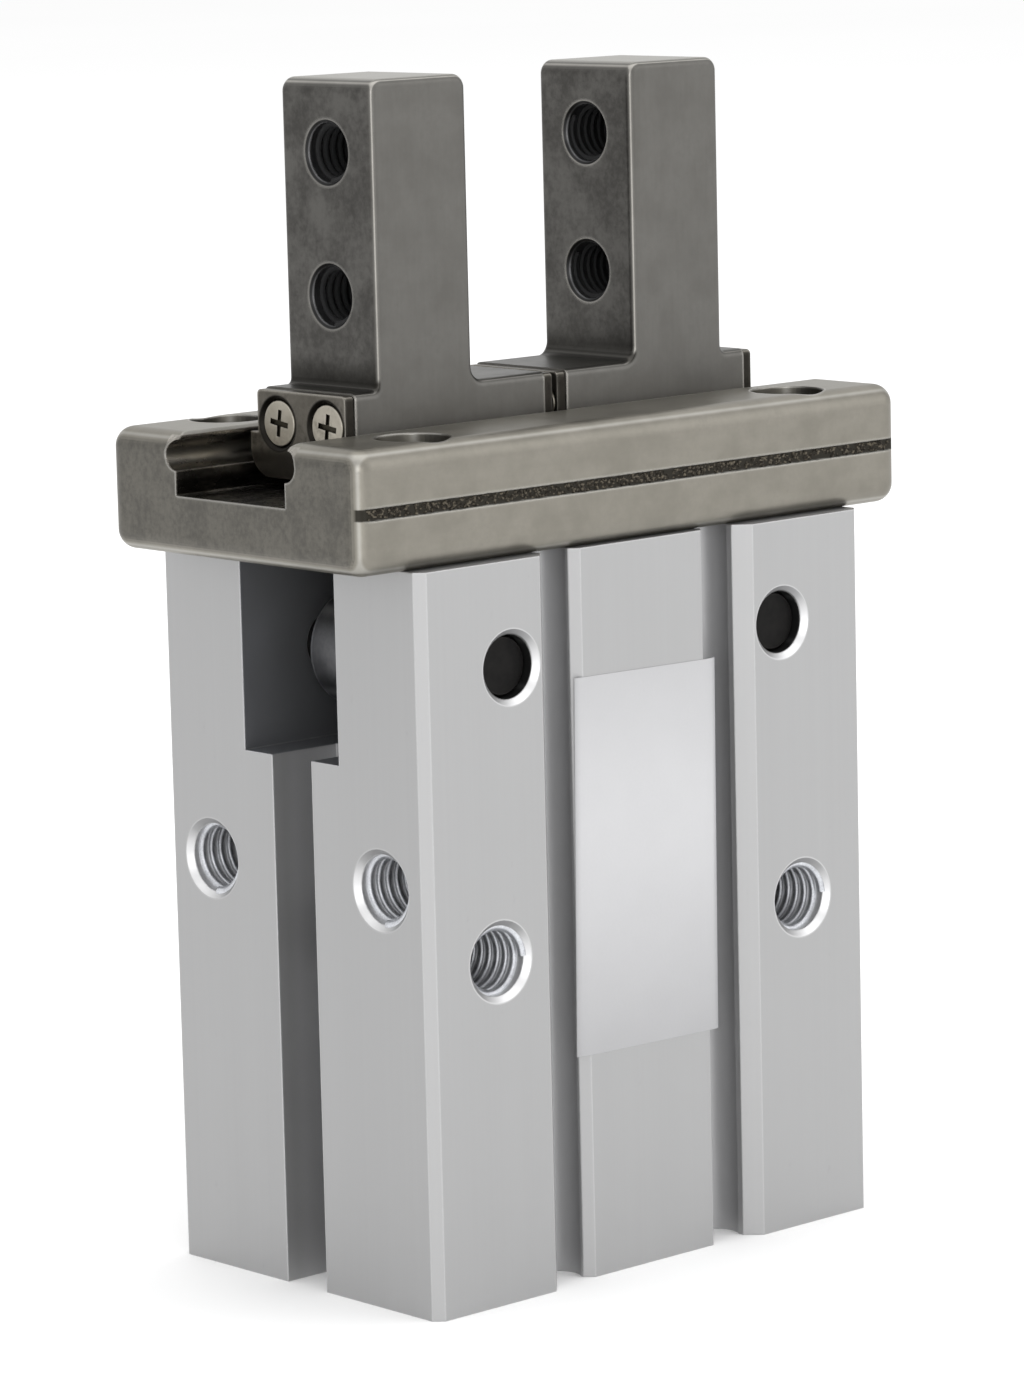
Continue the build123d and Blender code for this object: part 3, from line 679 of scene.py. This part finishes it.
def finger_steel():
    material, place, skin, roughness, height = steel(
        "tumbled_finger_steel", dark=(0.115, 0.111, 0.103, 1), light=(0.140, 0.136, 0.127, 1),
        stain_and_shade=(0.046, 0.044, 0.041, 1), streak=(1, 1, 8), worn_and_lit=(0.55, 0.53, 0.49, 1), worn_and_lit_share=0.8,
        stained_share=0.1, painted_end_shade=0.86, mottled=0.62, patchy=0.6)
    # Painted light: the faces square to Z, the tops above all, are painted lighter.
    skin = (faces_along(place, "Z") * 0.8).tint(skin, (0.36, 0.35, 0.32, 1))
    # Painted shade: the foot of the upright's ends and the crease along the shoulder are painted near black.
    rise = place.part("Z") - SHOULDER
    root_shade = (1 - rise.step(0.6 * MM, 3.2 * MM)) * rise.step(-0.2 * MM, 0.1 * MM) * faces_along(place, "X")
    crease_shade = (1 - abs(rise - 0.3 * MM).step(0.2 * MM, 0.8 * MM)) * (1 - faces_along(place, "Y"))
    skin = (root_shade * 0.72 | crease_shade * 0.85).tint(skin, (0.012, 0.011, 0.009, 1))
    folded = fold(place)
    for z in TIP_HOLES:
        skin = shade_tip_hole(skin, folded, (FINGER_OUTER, 0.0, z))
    return end_finish(material, place, skin, roughness, metallic=1.0, height=height, relief=0.008 * MM,
                      edge=0.25 * MM)


finger_finish = finger_steel()
# Painted shade: the thread in the finger holes is painted nearly black, as the holes' shade.
shaded_tapped_steel = cut_metal("shaded_tapped_steel", dark=(0.05, 0.05, 0.051, 1), light=(0.066, 0.066, 0.067, 1),
                         rough=0.8)
for side, sign in SIDES.items():
    dress("finger_" + side, finger_finish)
    spots = [((sign * FINGER_OUTER, 0, z), (-sign, 0, 0)) for z in TIP_HOLES]
    finger_threads = tap_holes("finger_threads_" + side, spots, M5_R, M5_PITCH,
                               FINGER_THICKNESS - 2 * TIP_CHAMFER, shaded_tapped_steel)
    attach(finger_threads, "finger_" + side)


# End plates: thin punched plates that close the ball returns at both ends of a finger's foot.
# They are brownish grey, with painted shade in the countersink round each plug, on their side faces and low
# down in the channel.
PLATE_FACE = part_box("end_plates_right")[1][0]
PLATE_COUNTERSINK = 0.3 * MM
PLUG_LOW, PLUG_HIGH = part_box("return_plugs_right")
PLUG_R = 2.0 * MM
PLUG_Y = PLUG_HIGH[1] - PLUG_R
PLUG_Z = (PLUG_LOW[2] + PLUG_HIGH[2]) / 2


def plate_steel():
    material, place, skin, roughness, height = steel(
        "punched_plate_steel", dark=(0.085, 0.078, 0.066, 1), light=(0.15, 0.139, 0.12, 1),
        stain_and_shade=(0.028, 0.025, 0.02, 1), rough=0.36, worn_and_lit=(0.4, 0.38, 0.34, 1), worn_and_lit_share=0.8,
        stained_share=0.75)
    # Painted shade: a dark ring round each plug and on the plate's faces square to Y.
    plug_shade_reach = PLUG_R + PLATE_COUNTERSINK + 0.14 * MM
    ring = near_hole(fold(place), (PLATE_FACE, PLUG_Y, PLUG_Z), 0, plug_shade_reach, PLATE_FACE, 0.12 * MM)
    skin = (ring * 0.96 | faces_along(place, "Y") * 0.75).tint(skin, (0.006, 0.005, 0.004, 1))
    # Painted shade low down in the channel.
    lower = 1 - place.part("Z").step(GUIDE_HIGH[2] - 2.6 * MM, GUIDE_HIGH[2] - 1.2 * MM)
    skin = (lower * 0.8).tint(skin, (0.016, 0.014, 0.012, 1))
    return end_finish(material, place, skin, roughness, metallic=1.0, height=height, relief=0.01 * MM,
                      edge=0.15 * MM)


plate_finish = plate_steel()
for side in SIDES:
    dress("end_plates_" + side, plate_finish)


# Return plugs: round steel plugs pressed into the end plates to close the ball returns.
# A cross is struck into each face, and the cross and everything below the face are dark.
PLUG_FACES = (PLUG_HIGH[0], PLUG_LOW[0])
PLUG_SIZES = {
    "Plug radius": PLUG_R, "Plug depth": 0.85 * MM, "Stem radius": 1.33 * MM, "Stem depth": 1.15 * MM,
    "Edge": 0.12 * MM, "Arm length": 1.15 * MM, "Arm width": 0.48 * MM, "Cross depth": 0.3 * MM,
    "Cross turn": 0.14}


def join(tree, operation, solids, base=None):
    """A boolean of several solids, taken from a base where there is one."""
    node = tree.nodes.new("GeometryNodeMeshBoolean")
    node.operation = operation
    node.solver = "EXACT"
    if base is not None:
        tree.links.new(base.socket, node.inputs["Mesh 1"])
    for solid in solids:
        tree.links.new(solid.socket, node.inputs["Mesh 2"])
    return Wire(tree, node.outputs["Mesh"])


def drum(radius, top_radius, low, height):
    """A round bar or cone on Z, that starts at low."""
    made = radius.add("GeometryNodeMeshCone", {}, {
        "Vertices": 48, "Radius Top": top_radius, "Radius Bottom": radius, "Depth": height})
    lift = radius.add("CombineXYZ", {}, {"Z": low})
    return radius.add("GeometryNodeTransform", {}, {"Geometry": made, "Translation": lift})


def build_plug_tree():
    """Geometry nodes that put a plug with a struck cross on every point, its face at the point."""
    tree = bpy.data.node_groups.new("struck_plug", "GeometryNodeTree")
    sizes = dict.fromkeys(PLUG_SIZES, "Float")
    given = tree_inputs(tree, {"Geometry": "Geometry", **sizes, "Finish": "Material"})
    radius = given["Plug radius"]
    edge = given["Edge"]
    face = drum(radius - edge, radius, 0.0, edge)
    head = drum(radius, radius, edge, given["Plug depth"] - edge)
    stem = drum(given["Stem radius"], given["Stem radius"], given["Plug depth"], given["Stem depth"])
    plug = join(tree, "UNION", [face, head, stem])
    bars = []
    for turn in (0.0, math.pi / 2):
        size = radius.add("CombineXYZ", {}, {
            "X": given["Arm length"] * 2.0, "Y": given["Arm width"], "Z": given["Cross depth"] * 2.0})
        bar = radius.add("GeometryNodeMeshCube", {}, {"Size": size})
        spin = radius.add("CombineXYZ", {}, {"Z": given["Cross turn"] + turn})
        bars.append(radius.add("GeometryNodeTransform", {}, {"Geometry": bar, "Rotation": spin}))
    return end_on_points(tree, given, join(tree, "DIFFERENCE", bars, plug))


def plug_steel():
    material, place, skin, roughness, height = steel(
        "struck_plug_steel", dark=(0.33, 0.305, 0.255, 1), light=(0.46, 0.43, 0.37, 1),
        stain_and_shade=(0.12, 0.105, 0.08, 1), worn_and_lit=(0.6, 0.57, 0.5, 1), worn_and_lit_share=0.3, stained_share=0.6)
    along = abs(place.part("X"))
    deep = along.math("MINIMUM", abs(along - PLUG_FACES[0]), abs(along - PLUG_FACES[1]))
    skin = (deep.step(0.02 * MM, 0.08 * MM) * 0.95).tint(skin, (0.022, 0.019, 0.012, 1))
    return end_finish(material, place, skin, roughness, metallic=1.0, height=height, relief=0.01 * MM,
                      edge=0.1 * MM)


plug_tree = build_plug_tree()
plug_finish = plug_steel()
for side, sign in SIDES.items():
    spots = []
    for face, into in zip(PLUG_FACES, (-sign, sign)):
        spots += [((sign * face, sy * PLUG_Y, PLUG_Z), (into, 0, 0)) for sy in SIGNS]
    plugs = grow(points_with("struck_plugs_" + side, spots), plug_tree, {**PLUG_SIZES, "Finish": plug_finish})
    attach(plugs, "finger_" + side)
    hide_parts("return_plugs_" + side)


# Label: a plain satin sticker without any print, laid flat on the sunk strip of the front face.
# It stands a little askew and is wider than the strip, so its edges hang over the slots and curl back.
STRIP_Y = BODY_LOW[1] + 0.86 * MM
STRIP_HALF = 7.1 * MM
LABEL_WIDTH = 16.8 * MM
LABEL_HEIGHT = 32.6 * MM
LABEL_CENTRE = (0.1 * MM, 35.7 * MM)
LABEL_TURN = math.radians(0.9)
LABEL_THICK = 0.07 * MM
LABEL_CURL = 0.12 / MM  # an edge that stands x beyond the strip curls back by this times x squared
LABEL_COLUMNS = 28


def label_film():
    material, place = start_finish("satin_label_film")
    fibre = place.grain(0.25 * MM)
    clouds = place.grain(6 * MM)
    skin = (fibre * 0.4 + clouds * 0.6).tint((0.475, 0.475, 0.485, 1), (0.545, 0.545, 0.555, 1))
    skin = (sharp_edges(place, 0.1 * MM) * 0.4).tint(skin, (0.4, 0.4, 0.41, 1))
    return end_finish(material, place, skin, 0.58 + fibre * 0.1, metallic=0.0, height=fibre,
                      relief=0.004 * MM, specular=0.2)


def blank_label():
    """A thin sheet, flat on the strip and curling back beyond its edges, given its thickness by Solidify."""
    corners = []
    for rise in (-LABEL_HEIGHT / 2, LABEL_HEIGHT / 2):
        for n in range(LABEL_COLUMNS + 1):
            along = (n / LABEL_COLUMNS - 0.5) * LABEL_WIDTH
            x = LABEL_CENTRE[0] + along * math.cos(LABEL_TURN) + rise * math.sin(LABEL_TURN)
            z = LABEL_CENTRE[1] + rise * math.cos(LABEL_TURN) - along * math.sin(LABEL_TURN)
            past = max(0.0, abs(x) - STRIP_HALF)
            corners.append((x, STRIP_Y - LABEL_THICK + LABEL_CURL * past * past, z))
    upper = LABEL_COLUMNS + 1
    faces = [(n, n + 1, upper + n + 1, upper + n) for n in range(LABEL_COLUMNS)]
    mesh = bpy.data.meshes.new("blank_label")
    mesh.from_pydata(corners, [], faces)
    mesh.polygons.foreach_set("use_smooth", [True] * len(mesh.polygons))
    mesh.materials.append(label_film())
    piece = show("blank_label", mesh)
    wall = piece.modifiers.new("film", "SOLIDIFY")
    wall.thickness = LABEL_THICK
    wall.offset = -1.0
    return piece


label = blank_label()
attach(label, "casing")


# Studio: a plain pale floor, large soft lights and the camera where the photograph was taken from.
# None of it is part of the gripper.
FLOOR_REACH = 9.0


def pale_floor():
    material, place = start_finish("pale_floor")
    haze = place.grain(0.4, detail=2.0)
    skin = haze.tint((0.95, 0.95, 0.95, 1), (0.975, 0.975, 0.975, 1))
    end_finish(material, place, skin, 0.7, metallic=0.0, height=haze, relief=0.1 * MM, specular=0.0)
    mesh = bpy.data.meshes.new("floor")
    turns = ((-1, -1), (1, -1), (1, 1), (-1, 1))
    mesh.from_pydata([(sx * FLOOR_REACH, sy * FLOOR_REACH, 0) for sx, sy in turns], [], [(0, 1, 2, 3)])
    mesh.materials.append(material)
    show("floor", mesh)


pale_floor()


def soft_light(name, place, aim, size, power):
    """A square lamp of a size in metres and a power in watts, aimed at a point."""
    light = bpy.data.lights.new(name, "AREA")
    light.shape = "SQUARE"
    light.size = size
    light.energy = power
    lamp = show(name, light)
    lamp.location = place
    lamp.rotation_euler = (Vector(aim) - Vector(place)).to_track_quat("-Z", "Y").to_euler()


soft_light("overhead", (0.1, -0.1, 1.3), aim=(0, 0, 0), size=1.6, power=8)
soft_light("right_front", (0.75, -0.85, 0.45), aim=(0, 0, 0.05), size=0.7, power=1.6)
soft_light("by_camera", (-0.72, -0.8, 0.32), aim=(0, 0, 0.05), size=0.3, power=1.4)
soft_light("low_front", (-0.55, -0.85, 0.0), aim=(0, 0, -0.03), size=0.4, power=1.0)

world = bpy.data.worlds.new("studio")
bpy.context.scene.world = world
world.use_nodes = True
world.node_tree.nodes["Background"].inputs["Color"].default_value = (1, 1, 1, 1)
world.node_tree.nodes["Background"].inputs["Strength"].default_value = 1.0
bpy.context.scene.view_settings.view_transform = "Standard"

# The camera's place, turn and lens were fitted to the body's corners and holes in the photograph.
camera = show("camera", bpy.data.cameras.new("camera"))
camera.data.lens = 141.23
camera.data.sensor_width = 36.0
camera.data.clip_start = 0.01
right = Vector((0.7351, -0.6776, -0.0237))
up = Vector((0.1253, 0.1014, 0.9869))
back = Vector((-0.6663, -0.7284, 0.1595))
turned = Matrix((right, up, back)).transposed().to_4x4()
camera.matrix_world = Matrix.Translation((-0.3165, -0.3453, 0.1240)) @ turned
bpy.context.scene.camera = camera
